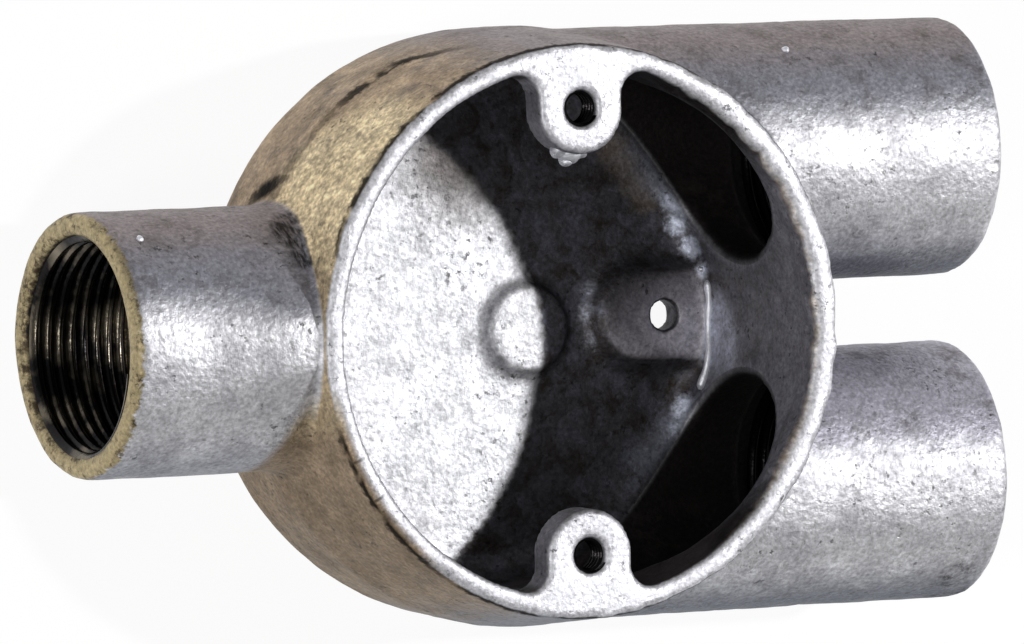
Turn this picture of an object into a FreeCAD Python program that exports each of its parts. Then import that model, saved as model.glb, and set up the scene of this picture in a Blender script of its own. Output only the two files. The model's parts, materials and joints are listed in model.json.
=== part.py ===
import FreeCAD, Part
import math
import os
from FreeCAD import Vector

# Y conduit box for 25 mm screwed conduit: one galvanised malleable-iron casting.
# A round open bowl, one hub on the -X side and a pair of parallel hubs on the +X side.
# Origin at the middle of the flat back, +Z out of the open mouth, X along the hubs, millimetres.

# Bowl, outside: widest at the hub axes, a little narrower at the rim and at the back
box_depth = 34.0
belly_r = 34.6
rim_taper = 2.0
back_taper = 0.6
back_corner_r = 6.0
rim_outer_chamfer = 0.3

# Bowl, inside
rim_width = 2.2
floor_thickness = 3.8
floor_fillet_r = 3.5
rim_inner_chamfer = 0.3

# Conduit entries: the screwed length at its outer thread size, then a plain bore to the bowl
thread_r = 12.5
thread_depth = 0.7
thread_length = 21.0
thread_lead_in = 0.5
thread_runout = 0.7
twin_bore_inner_end = 2.0

# Hubs: their length is past the bowl's widest, and they are set in from its back and its sides
hub_wall = 2.6
hub_back_step = 1.2
hub_length = 22.0
twin_hub_inset = 0.5
hub_mouth_chamfer = 0.6
single_root_fillet_r = 1.6

# Cover-screw lugs, flush with the rim; their neck fillet takes at most a share of their straight sides
cover_screw_spacing = 50.8
cover_screw_r = 2.0
cover_screw_chamfer = 0.3
lug_r = 5.3
lug_thickness = 4.0
lug_neck_fillet_r = 2.6
lug_neck_share = 0.75

# Raised boss on the floor, from the wall between the twin bores, with sloping sides and the fixing hole
boss_height = 2.9
boss_r = 5.4
boss_side_slope = 1.2
boss_reach = 8.6
fixing_hole_from_wall = 5.8
fixing_hole_r = 1.75
fixing_hole_wall = 3.3
back_recess_r = 4.0

# Low round pad on the floor
pad_center_x = 7.5
pad_center_y = -1.0
pad_foot_r = 5.6
pad_top_r = 5.0
pad_height = 1.4

# Overshoot of cutting solids past the faces they cut, and the tolerance for finding edges
cut_margin = 5.0
edge_tol = 0.01

X_AXIS = Vector(1, 0, 0)
Z_AXIS = Vector(0, 0, 1)
ORIGIN = Vector(0, 0, 0)
UNDER_SIDE = Vector(0, math.sin(math.radians(30)), -math.cos(math.radians(30)))
rim_r = belly_r - rim_taper
back_r = belly_r - back_taper
cavity_r = rim_r - rim_width
plain_bore_r = thread_r - thread_depth
hub_r = thread_r + hub_wall
hub_axis_height = hub_back_step + hub_r
hub_reach = belly_r + hub_length
boss_top = floor_thickness + boss_height
boss_center_x = cavity_r - boss_reach
fixing_hole_x = cavity_r - fixing_hole_from_wall
lug_underside = box_depth - lug_thickness
screw_y = cover_screw_spacing / 2

# Each hub: its sideways place and the way it points along X
twin_hub_y = belly_r - hub_r - twin_hub_inset
hubs = [(0.0, -1), (twin_hub_y, 1), (-twin_hub_y, 1)]


def revolved(profile, base=ORIGIN, axis=Z_AXIS, across=X_AXIS):
    """Solid of revolution of a closed (radius, height) outline about an axis."""
    corners = [base + across * radius + axis * height for radius, height in profile]
    outline = Part.makePolygon(corners + corners[:1])
    return Part.Face(outline).revolve(base, axis, 360)


def level_edges(shape, height):
    """Edges that lie whole in the level plane at a height."""
    found = []
    for edge in shape.Edges:
        box = edge.BoundBox
        if abs(box.ZMin - height) < edge_tol and abs(box.ZMax - height) < edge_tol:
            found.append(edge)
    return found


def upright_edges(shape):
    """Straight edges along Z."""
    found = []
    for edge in shape.Edges:
        box = edge.BoundBox
        if box.XLength < edge_tol and box.YLength < edge_tol:
            found.append(edge)
    return found


def bowl():
    """Solid bowl with a rounded back corner, left tall so that the rim can be faced off."""
    taper = rim_taper / (box_depth - hub_axis_height)
    tall = box_depth + cut_margin
    profile = [
        (0, 0),
        (back_r, 0),
        (belly_r, hub_axis_height),
        (rim_r - taper * cut_margin, tall),
        (0, tall),
    ]
    solid = revolved(profile)
    return solid.makeFillet(back_corner_r, level_edges(solid, 0))


def rim_bevel():
    """Ring that chamfers the rim's outer edge."""
    inner = rim_r - rim_outer_chamfer
    outer = rim_r + rim_outer_chamfer
    return revolved([(inner, box_depth), (outer, box_depth), (outer, box_depth - 2 * rim_outer_chamfer)])


def hub(y, way):
    """Solid hub from the bowl's axis plane to its chamfered mouth, with its seam on the under side."""
    profile = [
        (0, 0),
        (hub_r, 0),
        (hub_r, hub_reach - hub_mouth_chamfer),
        (hub_r - hub_mouth_chamfer, hub_reach),
        (0, hub_reach),
    ]
    return revolved(profile, Vector(0, y, hub_axis_height), X_AXIS * way, UNDER_SIDE)


def single_hub_root_edges(shape):
    """Curved edges where the single hub's cylinder meets the bowl."""
    found = []
    for edge in shape.Edges:
        middle = edge.valueAt((edge.FirstParameter + edge.LastParameter) / 2)
        from_axis = math.hypot(middle.y, middle.z - hub_axis_height)
        behind_mouth = hub_mouth_chamfer - hub_reach + edge_tol < middle.x < 0
        if behind_mouth and abs(from_axis - hub_r) < edge_tol and not isinstance(edge.Curve, Part.Line):
            found.append(edge)
    return found


def outer_casting():
    """Bowl and hubs in one solid, filleted where the single hub meets the bowl."""
    solid = bowl().fuse([hub(y, way) for y, way in hubs]).removeSplitter()
    return solid.makeFillet(single_root_fillet_r, single_hub_root_edges(solid))


def lug_tab(side):
    """Upright prism of one lug's outline, from its round end back into the wall."""
    height = lug_thickness + cut_margin
    end = Part.makeCylinder(lug_r, height, Vector(0, side * screw_y, lug_underside))
    root = Part.makeBox(2 * lug_r, belly_r - screw_y, height)
    root.translate(Vector(-lug_r, min(side * screw_y, side * belly_r), lug_underside))
    return end.fuse(root).removeSplitter()


def fixing_boss():
    """Boss with sloping sides that runs from its round end on the floor into the wall."""
    foot_r = boss_r + boss_side_slope
    end = Part.makeCone(foot_r, boss_r, boss_height, Vector(boss_center_x, 0, floor_thickness))
    section = [(-foot_r, floor_thickness), (foot_r, floor_thickness), (boss_r, boss_top), (-boss_r, boss_top)]
    corners = [Vector(boss_center_x, y, z) for y, z in section]
    run = Part.Face(Part.makePolygon(corners + corners[:1])).extrude(X_AXIS * (belly_r - boss_center_x))
    return end.fuse(run).removeSplitter()


def inner_rim_edges(air):
    """Outline of the mouth in the rim's plane, lugs included."""
    return [edge for edge in level_edges(air, box_depth) if edge.BoundBox.DiagonalLength < 2 * hub_reach]


def cavity():
    """Air in the bowl and over its rim: the round well, less the boss, the pad and the two lugs."""
    well = Part.makeCylinder(cavity_r, lug_underside - floor_thickness, Vector(0, 0, floor_thickness))
    well = well.makeFillet(floor_fillet_r, level_edges(well, floor_thickness))
    pad_base = Vector(pad_center_x, pad_center_y, floor_thickness)
    pad = Part.makeCone(pad_foot_r, pad_top_r, pad_height, pad_base)
    well = well.cut([fixing_boss(), pad])
    mouth = Part.makeCylinder(cavity_r, lug_thickness + cut_margin, Vector(0, 0, lug_underside))
    mouth = mouth.cut([lug_tab(1), lug_tab(-1)])
    necks = [edge for edge in upright_edges(mouth) if abs(abs(edge.BoundBox.Center.x) - lug_r) < edge_tol]
    necks = [edge for edge in necks if abs(edge.BoundBox.Center.y) > screw_y + edge_tol]
    straight_side = math.sqrt(cavity_r**2 - lug_r**2) - screw_y
    mouth = mouth.makeFillet(min(lug_neck_fillet_r, lug_neck_share * straight_side), necks)
    over_rim = Part.makeCylinder(hub_reach + hub_r, 2 * cut_margin, Vector(0, 0, box_depth))
    air = well.fuse([mouth, over_rim]).removeSplitter()
    return air.makeChamfer(rim_inner_chamfer, inner_rim_edges(air))


def conduit_entry(y, way):
    """Stepped bore of one hub: lead-in, screwed length, run-out and plain bore to the bowl."""
    inner_end = twin_bore_inner_end if y else cavity_r - cut_margin
    thread_end = hub_reach - thread_length
    profile = [
        (0, inner_end),
        (plain_bore_r, inner_end),
        (plain_bore_r, thread_end - thread_runout),
        (thread_r, thread_end),
        (thread_r, hub_reach - thread_lead_in),
        (thread_r + thread_lead_in, hub_reach),
        (thread_r + thread_lead_in, hub_reach + cut_margin),
        (0, hub_reach + cut_margin),
    ]
    return revolved(profile, Vector(0, y, hub_axis_height), X_AXIS * way, Z_AXIS)


def cover_screw_hole(side):
    """Hole through a lug at the thread's outer size, with a light chamfer at the face."""
    profile = [
        (0, lug_underside - cut_margin),
        (cover_screw_r, lug_underside - cut_margin),
        (cover_screw_r, box_depth - cover_screw_chamfer),
        (cover_screw_r + cover_screw_chamfer, box_depth),
        (cover_screw_r + cover_screw_chamfer, box_depth + cut_margin),
        (0, box_depth + cut_margin),
    ]
    return revolved(profile, Vector(0, side * screw_y, 0))


def fixing_hole():
    """Hole through the boss, with a recess in the back that leaves an even wall round it."""
    place = Vector(fixing_hole_x, 0, -cut_margin)
    hole = Part.makeCylinder(fixing_hole_r, boss_top + 2 * cut_margin, place)
    recess = Part.makeCylinder(back_recess_r, boss_top - fixing_hole_wall + cut_margin, place)
    return hole.fuse(recess)


def box_casting():
    """The whole casting."""
    bores = [conduit_entry(y, way) for y, way in hubs]
    holes = [cover_screw_hole(1), cover_screw_hole(-1), fixing_hole()]
    return outer_casting().cut([cavity(), rim_bevel()] + bores + holes).removeSplitter()


os.makedirs("parts", exist_ok=True)
casting = box_casting()
casting.exportStep("parts/box_casting.step")
print("box_casting", casting.isValid(), len(casting.Solids), "volume mm3", round(casting.Volume, 1))
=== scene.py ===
"""Y conduit box: a galvanised malleable-iron casting with screwed hubs, dressed round its CAD frame."""

import functools
import itertools
import json
import math
from types import SimpleNamespace

import bmesh
import bpy
import numpy as np
from mathutils import Matrix, Vector


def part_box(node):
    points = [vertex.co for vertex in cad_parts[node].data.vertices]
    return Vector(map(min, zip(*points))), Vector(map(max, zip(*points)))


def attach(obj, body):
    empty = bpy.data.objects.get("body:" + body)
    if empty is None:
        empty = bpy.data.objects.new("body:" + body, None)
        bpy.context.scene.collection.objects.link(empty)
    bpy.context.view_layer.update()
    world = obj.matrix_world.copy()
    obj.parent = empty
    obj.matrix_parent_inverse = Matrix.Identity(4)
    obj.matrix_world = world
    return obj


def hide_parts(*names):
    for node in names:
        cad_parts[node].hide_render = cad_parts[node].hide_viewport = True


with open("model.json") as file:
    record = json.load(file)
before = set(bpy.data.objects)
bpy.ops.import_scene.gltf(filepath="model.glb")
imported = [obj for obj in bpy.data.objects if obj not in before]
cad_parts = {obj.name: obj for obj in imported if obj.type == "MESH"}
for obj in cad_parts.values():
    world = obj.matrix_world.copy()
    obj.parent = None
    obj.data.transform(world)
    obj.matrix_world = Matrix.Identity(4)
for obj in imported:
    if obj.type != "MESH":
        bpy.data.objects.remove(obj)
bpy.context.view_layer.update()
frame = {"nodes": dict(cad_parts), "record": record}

bl_info = {
    "name": "Y conduit box",
    "version": (1, 0, 0),
    "blender": (4, 5, 0),
    "location": "3D View > Sidebar > Conduit box",
    "description": "Cast skin, screw threads, zinc beads and studio for a round Y conduit box",
    "category": "Object",
}

MM = 0.001
CASTING = "box_casting"
BODY = "root"
LOW_CORNER, HIGH_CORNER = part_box(CASTING)
RIM_HEIGHT = HIGH_CORNER.z
MOUNTS = {mount["name"]: mount for mount in frame["record"]["mounts"]}
ENTRIES = [mount for mount in MOUNTS.values() if mount["kind"] == "threaded_hole"]
HUB_AXIS_HEIGHT = ENTRIES[0]["pos_m"][2]
HUB_WALL = 2.6 * MM
HUB_RADIUS = MOUNTS["twin_entry_left"]["dims"]["r_mm"] * MM + HUB_WALL
TWIN_Y = abs(MOUNTS["twin_entry_left"]["pos_m"][1])

# Black stains in the casting's roots and on the twin hubs: place and reach in mm, and strength. The four at
# the single hub's upper root are stain and painted shadow together, and the one at the fixing hole is painted
# shade
STAINS_AND_SHADE = (
    ((-33.2, 12.4, 24.5), 2.6, 1.0),
    ((-31.6, 13.6, 22.8), 2.4, 0.9),
    ((-32.3, 11.6, 26.0), 2.6, 1.0),
    ((-32.6, 9.6, 28.2), 2.3, 1.0),
    ((24.6, 0.0, 4.6), 2.5, 1.0),
    ((-34.0, -9.5, 8.0), 2.2, 1.0),
    ((52.3, -30.9, 25.5), 3.6, 1.0),
    ((54.0, -33.2, 20.0), 3.8, 1.0),
    ((38.6, 9.8, 28.3), 1.1, 0.9),
    ((42.8, 10.1, 28.5), 1.0, 0.7),
    ((46.9, 10.3, 28.7), 1.1, 0.8),
)

# Stain and painted shade along the crease of the single hub's root on the bowl: its two ends and its reach in
# mm, and its number of spots
ROOT_STAIN_AND_SHADE = (-30.9, 15.4, 10.4), (-29.4, 18.1, 17.2), 2.0, 10

# Painted highlights in the well, round the boss and by the bores' mouths: place and reach in mm, and strength
WELL_HIGHLIGHTS = (
    ((26.6, 13.2, 5.3), 1.9, 0.9),
    ((27.4, 10.4, 4.9), 1.8, 0.9),
    ((28.9, 7.9, 5.8), 2.0, 0.9),
    ((29.4, 5.0, 6.9), 1.5, 0.9),
    ((27.6, -11.0, 5.3), 2.0, 0.9),
    ((28.4, -11.8, 6.8), 1.8, 0.9),
    ((27.2, -13.6, 5.6), 1.8, 0.9),
    ((30.3, -1.4, 9.4), 5.2, 0.75),
    ((30.1, -4.2, 11.0), 5.2, 0.7),
    ((15.9, 0.5, 3.8), 1.8, 0.35),
    ((16.3, 3.2, 3.8), 1.7, 0.35),
    ((16.3, -2.4, 3.8), 1.7, 0.35),
)

# Brown streak on the floor beside the upper bore, painted as a strip of warm light: place and reach in mm,
# and strength
WARM_LIGHT_STREAK = (
    ((19.6, 19.4, 3.9), 3.0, 0.35),
    ((20.9, 17.6, 3.8), 3.0, 0.35),
    ((22.2, 15.5, 3.8), 2.8, 0.35),
    ((23.5, 13.6, 3.8), 2.6, 0.3),
)

# Cracks across the rim, as bearings from the mouth's centre
CRACKS = (math.radians(204.6), math.radians(213.6))

# Zinc beads: place in mm, the way they stand out, and radius in mm
BEADS = (
    ((-51.4, 12.3, 25.2), (0.0, 0.81, 0.58), 0.45),
    ((31.1, 31.1, 25.4), (0.0, 0.8, 0.6), 0.48),
    ((29.5, 5.2, 6.9), (0.0, 0.0, 1.0), 0.4),
    ((-1.7, 20.6, 31.7), (-0.3, -0.9, 0.0), 1.2),
    ((-0.5, 20.2, 31.5), (0.0, -1.0, 0.0), 1.5),
    ((0.8, 20.5, 31.6), (0.2, -0.9, 0.0), 1.2),
    ((-0.7, 19.4, 31.3), (0.0, -1.0, 0.0), 0.9),
)
BEAD_SINK = 0.25

# Thread ridge with 60 degree sides: places along the axis and heights inwards, in pitches
RIDGE_ALONG = np.array([-0.47, -0.44, -0.15, -0.08, 0.08, 0.15, 0.44, 0.47])
RIDGE_INWARD = np.array([-0.16, 0.0, 0.5, 0.54, 0.54, 0.5, 0.0, -0.16])
STEPS_PER_TURN = 84
FADE_TURNS = 0.3

# Thread's wear: how deep it goes, the size of its patches, and a direction off every bore's axis
WEAR_SHARE = 0.10
WEAR_SIZE = 0.35
OFF_AXIS = (0.0, 0.31, 0.95)

# Primes that hash the corners of the noise's lattice and its seed
CORNER_PRIMES = np.array([73856093, 19349663, 83492791])
SEED_PRIME = 2654435761
MIXING_PRIME = 1274126177

# Edges that stay sharp, points of the solid that are merged, and the room left at a lug thread's ends
SHARP_ANGLE = math.radians(40)
MERGE_DISTANCE = 0.002 * MM
THREAD_END_ROOM = 0.2 * MM

# Floor: half its side, how far it lies under the box, and its own light
FLOOR_HALF = 8.0
FLOOR_DROP = 0.1 * MM
FLOOR_GLOW = 0.93

# Width of the camera's sensor in mm
SENSOR_WIDTH = 36.0

# Settings of nodes that come often
SOFT = {"interpolation_type": "SMOOTHSTEP"}
RGBA = {"data_type": "RGBA"}
TIMES = {"operation": "MULTIPLY"}
MOST = {"operation": "MAXIMUM"}
MINUS = {"operation": "SUBTRACT"}
MAGNITUDE = {"operation": "ABSOLUTE"}
REACH = {"operation": "DISTANCE"}


def length(name, description, size):
    """Setting for a length, from its size in mm."""
    return bpy.props.FloatProperty(
        name=name, description=description, default=size * MM, unit="LENGTH", precision=6
    )


def paint(name, description, code):
    """Setting for an sRGB hex colour."""
    return bpy.props.StringProperty(name=name, description=description + ", sRGB hex", default=code)


def spot(name, description, place):
    """Setting for a place in metres."""
    return bpy.props.FloatVectorProperty(
        name=name, description=description, default=place, subtype="TRANSLATION", precision=5
    )


class CastingSettings(bpy.types.PropertyGroup):
    """Relief and colours of the cast skin."""

    triangles: bpy.props.IntProperty(
        name="Triangles", description="Most triangles that the skin keeps", default=190000
    )
    rounding: bpy.props.IntProperty(
        name="Rounding", description="Rounds of corner rounding in the well", default=36
    )
    mesh_size: length("Mesh size", "Even spacing of the skin's mesh", 0.42)
    peel_size: length("Peel size", "Width of the orange-peel lumps", 1.7)
    peel_depth: length("Peel depth", "Height of the orange-peel lumps", 0.035)
    swell_size: length("Swell size", "Width of the casting's slow swells", 7.0)
    swell_depth: length("Swell depth", "Height of the casting's slow swells", 0.12)
    mouth_lean: length("Mouth lean", "Lean of the single hub's mouth", 1.8)
    lean_reach: length("Lean reach", "Length of hub that leans", 14.0)
    rim_taper: length("Rim taper", "How far the bowl narrows to its rim", 2.0)
    root_fillet: length("Root fillet", "Fillet that the single hub's crown loses", 1.7)
    crown_rise: length("Crown rise", "Rise of the single hub's crown to the rim", 1.4)
    lip: length("Lip", "Thickening inside the rim", 0.6)
    zinc_pale: paint("Pale zinc", "Bright zinc", "#ECECF0")
    zinc_grey: paint("Grey zinc", "Dull zinc", "#C6C5CA")
    # Slate and brown: painted shade and reflection on the hubs' sides facing +Y
    slate: paint("Slate", "Blue-grey upper hub sides", "#A2A2AC")
    brown: paint("Brown", "Grey-brown far sides", "#9A9090")
    # Tan, umber, sepia and gold: painted reflection of a golden surface on the bowl's single-hub side, sepia
    # as painted shade and gold as a painted highlight
    tan: paint("Tan", "Yellowed zinc", "#C2AB8F")
    umber: paint("Umber", "Browned zinc", "#9C8972")
    sepia: paint("Sepia", "Bowl's side low down", "#7A6A57")
    gold: paint("Gold", "Brightest yellowed zinc", "#DECCA9")
    # Straw: painted reflection of a golden surface on the mouth ring
    straw: paint("Straw", "Mouth ring", "#B9AA86")
    # Well and blue well: painted shade over the floor's shadowed part and the low wall
    well: paint("Well", "Dark floor and low wall", "#4F4843")
    well_blue: paint("Blue well", "Bluish zinc in the well", "#6C6D78")
    # Patch: colour of the painted highlights in the well
    well_highlight: paint("Patch", "Bright patches in the well", "#D6DBEA")
    pit: paint("Pit", "Pits in the mouth's ring", "#574B3A")
    # Wall: grey that is painted light up the well's wall and painted shade on the lugs' tips
    wall: paint("Wall", "Inner wall near the rim and tips of the lugs", "#A19FA6")
    boss: paint("Boss", "Top of the fixing boss", "#9A969C")
    # Bore: dark that is painted shade in the bores and on the wall beside the lugs
    bore: paint("Bore", "Walls of the bores", "#332F2E")
    # Under: painted shade low on the hubs' near sides; valley: painted reflection where the lower twin hub
    # faces the upper
    under: paint("Under", "Hubs' near sides low down", "#686C77")
    valley: paint("Valley", "Zinc between the twin hubs", "#C4C2CE")
    ground: paint("Ground rim", "Ground face of the rim", "#DEDEE3")
    # Soot: dark smudges on the far sides, and painted shade at the top end of the lit floor
    soot_and_shade: paint("Soot", "Smudges of dirt", "#5A534F")
    # Beads of zinc, and the painted highlight of the bright cord in the well
    spilt_and_highlight: paint("Spilt zinc", "Beads and runs of zinc", "#EEEFF5")
    # Ridge: painted sheen along the bores' mouths in the well
    ridge: paint("Ridge", "Bores' mouths in the well", "#8F93A0")
    # Stain: black of foundry stains, and of the painted shade in the roots and the fixing hole
    dark_stain_and_shade: paint("Stain", "Black foundry stain", "#221E1B")


class ThreadSettings(bpy.types.PropertyGroup):
    """Screw threads of the conduit entries and of the cover-screw lugs."""

    entry_pitch: length("Entry pitch", "Pitch of the conduit thread", 1.5)
    screw_pitch: length("Screw pitch", "Pitch of the cover-screw thread", 0.7)
    lug_thickness: length("Lug thickness", "Height of the lugs under the rim", 4.0)
    dark: paint("Dark", "Thread in shadow", "#1B191A")
    # Glint: painted glint on the thread's crests
    glint: paint("Glint", "Worn thread crests", "#9C9280")


class StageSettings(bpy.types.PropertyGroup):
    """Camera, lamps and floor."""

    tilt: bpy.props.FloatVectorProperty(
        name="Tilt",
        description="Turns of the camera about X, Y and Z off the mouth's axis",
        default=(math.radians(3.21), math.radians(27.01), math.radians(2.64)),
        subtype="EULER",
    )
    stand: spot(
        "Stand", "Camera's place from the rim's centre, along its own axes", (-8.44 * MM, 1.14 * MM, 1.1)
    )
    lens: bpy.props.FloatProperty(
        name="Lens", description="Focal length in mm on a 36 mm sensor", default=341.1
    )
    key_place: spot("Key place", "Place of the key lamp", (0.585, 0.10, 0.79))
    key_size: length("Key size", "Side of the key lamp", 40.0)
    key_power: bpy.props.FloatProperty(
        name="Key power", description="Power of the key lamp", default=5.8, unit="POWER"
    )
    fill_place: spot("Fill place", "Place of the fill lamp", (-0.9, -0.15, 0.75))
    fill_size: length("Fill size", "Side of the fill lamp", 250.0)
    fill_power: bpy.props.FloatProperty(
        name="Fill power", description="Power of the fill lamp", default=4.0, unit="POWER"
    )
    room: bpy.props.FloatProperty(name="Room", description="Strength of the even room light", default=0.22)
    white: paint("White", "Room light and the floor's own light", "#FFFFFF")
    board: paint("Board", "Floor as it lights the box", "#E7E7E7")
    shade: paint("Shade", "Part of the floor's white that shadows take away", "#505050")


def settings():
    """The three groups of settings of the scene."""
    scene = bpy.context.scene
    return scene.box_casting_settings, scene.box_thread_settings, scene.box_stage_settings


def linear(code):
    """Linear RGBA of an sRGB hex colour."""
    values = [int(code[i : i + 2], 16) / 255 for i in (1, 3, 5)]
    return [v / 12.92 if v <= 0.04045 else ((v + 0.055) / 1.055) ** 2.4 for v in values] + [1.0]


def add_node(tree, kind, *values, **attributes):
    """Adds a shader node: attributes are set on it, and its sockets in use take the values in turn, or a
    link where a value is another node's output. None leaves a socket as it is. Returns its first output
    in use."""
    node = tree.nodes.new("ShaderNode" + kind)
    for name, value in attributes.items():
        setattr(node, name, value)
    in_use = [socket for socket in node.inputs if socket.enabled]
    for socket, value in zip(in_use, values):
        if isinstance(value, bpy.types.NodeSocket):
            tree.links.new(value, socket)
        elif value is not None:
            socket.default_value = value
    return next((output for output in node.outputs if output.enabled), None)


def new_material(name):
    """Empty node material; returns it and the call that adds nodes to it."""
    material = bpy.data.materials.new(name)
    material.use_nodes = True
    material.node_tree.nodes.clear()
    return material, functools.partial(add_node, material.node_tree)


def lattice_noise(points, size, seed):
    """Smooth noise from -1 to 1: values hashed from the corners of a turned cubic lattice of one spacing,
    blended by the quintic fade."""
    turn = np.array(Matrix.Rotation(0.9 + 0.7 * seed, 3, Vector((1.0, 0.6, 0.3))))
    cell = points @ turn.T / size + 31.7 * (seed + 1)
    base = np.floor(cell).astype(np.int64)
    part = cell - base
    fade = part**3 * (part * (part * 6 - 15) + 10)
    total = np.zeros(len(points))
    for corner in itertools.product((0, 1), repeat=3):
        hashed = (base + np.array(corner)) * CORNER_PRIMES
        mixed = hashed[:, 0] ^ hashed[:, 1] ^ hashed[:, 2] ^ (seed + 1) * SEED_PRIME
        mixed = (mixed ^ (mixed >> 13)) * MIXING_PRIME & 0x7FFFFFFF
        mixed = (mixed ^ (mixed >> 16)) & 0xFFFF
        weight = np.prod(np.where(np.array(corner), fade, 1 - fade), axis=1)
        total += weight * (mixed / 32767.5 - 1)
    return total


def soft_step(values, start, end):
    """Smooth rise from 0 at start to 1 at end."""
    part = np.clip((values - start) / (end - start), 0, 1)
    return part * part * (3 - 2 * part)


def put_piece(name, mesh, material):
    """Links a mesh as a piece that rides on the box, with its material and slot."""
    piece = bpy.data.objects.new(name, mesh)
    bpy.context.scene.collection.objects.link(piece)
    mesh.materials.clear()
    mesh.materials.append(material)
    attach(piece, BODY)
    return piece


def swept_mesh(name, rings):
    """Closed tube from an array of rings (steps, points, 3), with a flat cap at each end."""
    steps, points = rings.shape[:2]
    index = np.arange(steps * points).reshape(steps, points)
    ahead = np.roll(index, -1, axis=1)
    walls = np.stack([index[:-1], ahead[:-1], ahead[1:], index[1:]], axis=-1).reshape(-1, 4)
    faces = walls.tolist() + [index[0][::-1].tolist(), index[-1].tolist()]
    mesh = bpy.data.meshes.new(name)
    mesh.from_pydata(rings.reshape(-1, 3), [], faces)
    return mesh


def outward(mesh):
    """Turns a closed mesh's faces to point out, and shades it smooth apart from its sharp edges."""
    shape = bmesh.new()
    shape.from_mesh(mesh)
    bmesh.ops.recalc_face_normals(shape, faces=shape.faces)
    shape.to_mesh(mesh)
    shape.free()
    mesh.shade_smooth()
    mesh.set_sharp_from_angle(angle=SHARP_ANGLE)
    return mesh


def thread_rings(middle, axis, span, outer_r, pitch, seed):
    """Rings of an inner screw thread: a 60 degree ridge carried along the helix (outer_r cos 2 pi s,
    outer_r sin 2 pi s, start + pitch s), s in turns, worn uneven and faded at both ends."""
    axis = np.array(axis, float)
    side = np.cross(axis, OFF_AXIS)
    side /= np.linalg.norm(side)
    up = np.cross(axis, side)
    turns = span / pitch - 1
    s = np.linspace(0, turns, int(turns * STEPS_PER_TURN))
    fade = soft_step(s, 0, FADE_TURNS) * soft_step(turns - s, 0, FADE_TURNS)
    inward = RIDGE_INWARD * pitch
    angle = 2 * np.pi * s
    round_trip = np.stack([np.cos(angle), np.sin(angle), 0.3 * s], axis=1)
    worn = 1 - WEAR_SHARE * (1 + lattice_noise(round_trip, WEAR_SIZE, seed))
    radius = outer_r - np.where(inward > 0, inward * (fade * worn)[:, None], inward)
    travel = (s * pitch - turns * pitch / 2)[:, None] + RIDGE_ALONG * pitch
    spoke = np.cos(angle)[:, None] * side + np.sin(angle)[:, None] * up
    return np.array(middle) + radius[:, :, None] * spoke[:, None, :] + travel[:, :, None] * axis


def vertex_array(mesh, data, name):
    """One vector per vertex of a mesh as an array."""
    values = np.empty(len(mesh.vertices) * 3, np.float32)
    data.foreach_get(name, values)
    return values.reshape(-1, 3).astype(float)


def rounded(points, edges, weight, rounds):
    """Rounds corners: in each round every vertex moves by its weight towards the mean of its neighbours."""
    ends = np.concatenate([edges, edges[:, ::-1]])
    neighbours = np.bincount(ends[:, 0], minlength=len(points))
    for _ in range(rounds):
        sums = [np.bincount(ends[:, 0], points[ends[:, 1], axis], len(points)) for axis in range(3)]
        points = points + weight[:, None] * (np.stack(sums / neighbours, axis=1) - points)
    return points


def hub_distance(points):
    """Distance of points from the axis of the hub on their side."""
    sideways = np.where(points[:, 0] > 0, np.abs(points[:, 1]) - TWIN_Y, points[:, 1])
    return np.hypot(sideways, points[:, 2] - HUB_AXIS_HEIGHT)


def well_softness(points):
    """Share of rounding: strong in the well round the boss and the bores' mouths, light on the pad's side
    and on the outside, none at the lugs, the rim and the fixing hole."""
    x, y, z = points.T
    radial = np.hypot(x, y)
    hole_x, hole_y, _ = MOUNTS["fixing_hole"]["pos_m"]
    clear_of_hole = soft_step(np.hypot(x - hole_x, y - hole_y), 2.2 * MM, 3.2 * MM)
    below_lugs = soft_step(z, 29.5 * MM, 27 * MM)
    above_back = soft_step(z, 2.0 * MM, 3.4 * MM)
    within = soft_step(radial, 33 * MM, 30.5 * MM) * below_lugs * above_back
    in_well = within * clear_of_hole * (0.08 + 0.42 * soft_step(x, 12.5 * MM, 15 * MM))
    outside = soft_step(radial, 32.5 * MM, 33 * MM) * soft_step(hub_distance(points), 14 * MM, 14.6 * MM)
    return in_well + 0.05 * outside * soft_step(z, 33 * MM, 32 * MM)


def mouth_lean(points, look):
    """Shift along X that leans the single hub's mouth back: none at its lowest edge, most at its highest,
    and fading out along the hub."""
    up = np.clip((points[:, 2] - HUB_AXIS_HEIGHT) / (2 * HUB_RADIUS) + 0.5, 0, 1)
    return look.mouth_lean * up * soft_step(points[:, 0], LOW_CORNER.x + look.lean_reach, LOW_CORNER.x)


def sharp_root(points, look):
    """Shift that takes the fillet out at the crown of the single hub's root: a point goes to the nearer
    one of the hub's cylinder and the bowl's cone, in full at the crown and fading to the sides."""
    spoke = points * [0, 1, 1] - [0, 0, HUB_AXIS_HEIGHT]
    from_axis = np.linalg.norm(spoke, axis=1)
    level = points * [1, 1, 0]
    radial = np.linalg.norm(level, axis=1)
    raised = (points[:, 2] - HUB_AXIS_HEIGHT) / (RIM_HEIGHT - HUB_AXIS_HEIGHT)
    over_hub = from_axis - HUB_RADIUS
    off_wall = radial - HIGH_CORNER.y + look.rim_taper * raised
    in_fillet = (np.minimum(over_hub, off_wall) > 0) & (np.maximum(over_hub, off_wall) < look.root_fillet)
    share = soft_step(np.abs(points[:, 1]), 12 * MM, 8 * MM) * ((points[:, 0] < 0) & in_fillet)
    to_hub = spoke * (over_hub / from_axis)[:, None]
    to_wall = level * (off_wall / np.maximum(radial, MM))[:, None]
    return -share[:, None] * np.where((over_hub < off_wall)[:, None], to_hub, to_wall)


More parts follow.
